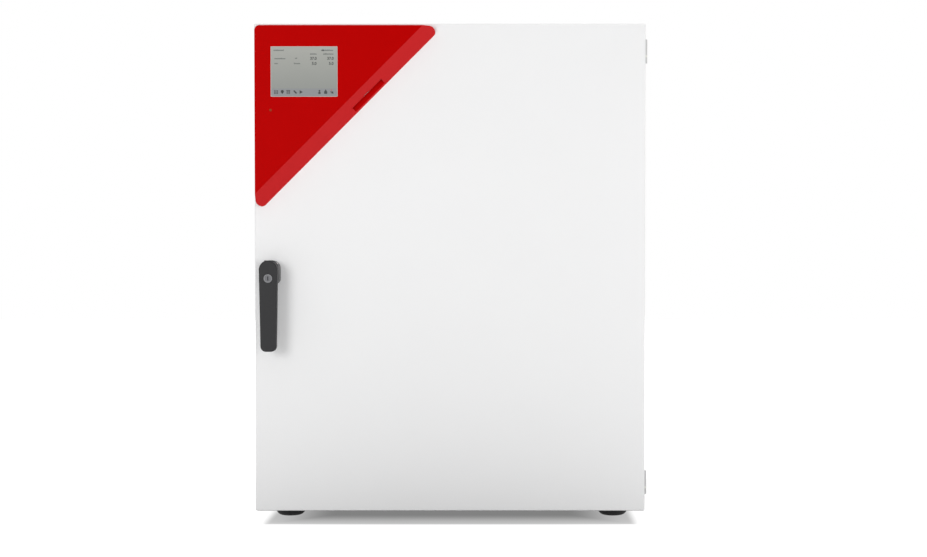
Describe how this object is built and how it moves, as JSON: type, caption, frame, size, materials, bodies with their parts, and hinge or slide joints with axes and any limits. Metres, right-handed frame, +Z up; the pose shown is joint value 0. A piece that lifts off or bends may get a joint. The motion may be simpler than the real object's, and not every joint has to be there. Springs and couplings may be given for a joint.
{
  "type": "carbon dioxide incubator",
  "caption": "Benchtop carbon dioxide incubator: insulated outer door with a triangular control panel and lever handle, inner glass door, stainless chamber with perforated shelves and water pan.",
  "frame": {"origin": "middle of the whole object's footprint, on the bench surface", "axes": "+Z up, +Y from the front door to the back, +X to the right seen from the front"},
  "size_m": [0.6884, 0.7894, 0.87],
  "materials": {
    "white_paint": "satin",
    "zinc_sheet": "satin",
    "stainless_satin": "satin",
    "stainless_bright": "polished",
    "hinge_metal": "satin",
    "lock_chrome": "polished",
    "nylon": "satin",
    "red_panel": "gloss",
    "black_plastic": "satin",
    "black_rubber": "matte",
    "grey_seal": "matte",
    "clear_silicone": "satin",
    "display": "gloss",
    "green_light": "gloss",
    "door_glass": "polished",
    "wool": "matte",
    "foil": "satin",
    "circuit_board": "satin",
    "brass": "satin",
    "valve_body": "satin",
    "filter_white": "satin",
    "blue_hose": "satin"
  },
  "bodies": {
    "cabinet": {"housing_wrap": "white_paint", "base_pan": "white_paint", "front_frame": "white_paint", "door_keeper": "stainless_satin", "rear_panel": "white_paint", "rear_bulkhead": "zinc_sheet", "rear_screws": "stainless_bright", "inner_chamber": "stainless_satin", "chamber_back": "stainless_satin", "air_jacket": "zinc_sheet", "jacket_heaters": "foil", "insulation": "wool", "glass_seal": "clear_silicone", "gas_mixing_head": "stainless_bright", "co2_sensor": "black_plastic", "temperature_probes": "stainless_bright", "glass_hinge_brackets": "stainless_bright", "glass_latch_keeper": "stainless_bright", "cabinet_hinge_leaves": "hinge_metal", "hinge_washers": "nylon", "hinge_pins": "stainless_bright", "feet": "black_rubber", "foot_screws": "stainless_bright", "access_port_tube": "stainless_satin", "power_inlet": "black_plastic", "network_socket": "black_plastic", "gas_inlet_nozzle": "brass", "gas_valve": "valve_body", "gas_filter": "filter_white", "gas_hoses": "blue_hose", "power_board": "circuit_board"},
    "water_pans": {"water_pan_outer": "stainless_satin", "water_pan_inner": "stainless_satin"},
    "lower_shelf": {"shelf_lower": "stainless_satin"},
    "middle_shelf": {"shelf_middle": "stainless_satin"},
    "upper_shelf": {"shelf_upper": "stainless_satin"},
    "door": {"door_skin": "white_paint", "door_inner_panel": "stainless_satin", "door_heater": "foil", "door_insulation": "wool", "door_gasket": "grey_seal", "latch_case": "zinc_sheet", "door_hinge_leaves": "hinge_metal", "panel_housing": "red_panel", "display_glass": "display", "display_module": "black_plastic", "controller_board": "circuit_board", "status_light": "green_light", "usb_socket": "stainless_bright", "handle_base": "black_plastic", "lever_pin": "stainless_bright"},
    "lever": {"handle_lever": "black_plastic", "lock_barrel": "lock_chrome"},
    "lock": {"lock_plug": "lock_chrome"},
    "latch": {"latch_hook": "stainless_bright"},
    "glass_door": {"glass_pane": "door_glass", "glass_hinge_blocks": "stainless_bright"},
    "glass_latch": {"glass_latch_knob": "black_plastic"},
    "port_plug": {"port_plug": "clear_silicone"},
    "mains_rocker": {"rocker_switch": "black_plastic"}
  },
  "joints": [
    {"name": "door_swing", "type": "hinge", "parent": "cabinet", "child": "door", "pos_m": [0.33825, -0.28685, 0.435], "axis": [0, 0, 1], "range_deg": [0, 120]},
    {"name": "glass_swing", "type": "hinge", "parent": "cabinet", "child": "glass_door", "pos_m": [0.29675, -0.27235, 0.43], "axis": [0, 0, 1], "range_deg": [0, 105]},
    {"name": "lever_pull", "type": "hinge", "parent": "door", "child": "lever", "pos_m": [-0.31525, -0.36935, 0.4525], "axis": [-1, 0, 0], "range_deg": [0, 35]},
    {"name": "latch_lift", "type": "hinge", "parent": "door", "child": "latch", "pos_m": [-0.33425, -0.30735, 0.4505], "axis": [1, 0, 0], "range_deg": [0, 21]},
    {"name": "lock_turn", "type": "hinge", "parent": "lever", "child": "lock", "pos_m": [-0.31525, -0.39465, 0.4275], "axis": [0, -1, 0], "range_deg": [0, 90]},
    {"name": "glass_latch_turn", "type": "hinge", "parent": "glass_door", "child": "glass_latch", "pos_m": [-0.27925, -0.26735, 0.43], "axis": [0, 1, 0], "range_deg": [0, 90]},
    {"name": "mains_switch_rock", "type": "hinge", "parent": "cabinet", "child": "mains_rocker", "pos_m": [-0.21425, 0.36565, 0.123], "axis": [1, 0, 0], "range_deg": [0, 16]},
    {"name": "port_plug_pull", "type": "slide", "parent": "cabinet", "child": "port_plug", "axis": [0, 1, 0], "range_m": [0, 0.06]},
    {"name": "lower_shelf_slide", "type": "slide", "parent": "cabinet", "child": "lower_shelf", "axis": [0, -1, 0], "range_m": [0, 0.03]},
    {"name": "middle_shelf_slide", "type": "slide", "parent": "cabinet", "child": "middle_shelf", "axis": [0, -1, 0], "range_m": [0, 0.03]},
    {"name": "upper_shelf_slide", "type": "slide", "parent": "cabinet", "child": "upper_shelf", "axis": [0, -1, 0], "range_m": [0, 0.03]},
    {"name": "water_pan_slide", "type": "slide", "parent": "cabinet", "child": "water_pans", "axis": [0, -1, 0], "range_m": [0, 0.022]}
  ],
  "couplings": [
    {"joint": "glass_swing", "follows": "door_swing", "ratio": 0.875},
    {"joint": "latch_lift", "follows": "lever_pull", "ratio": 0.6}
  ]
}
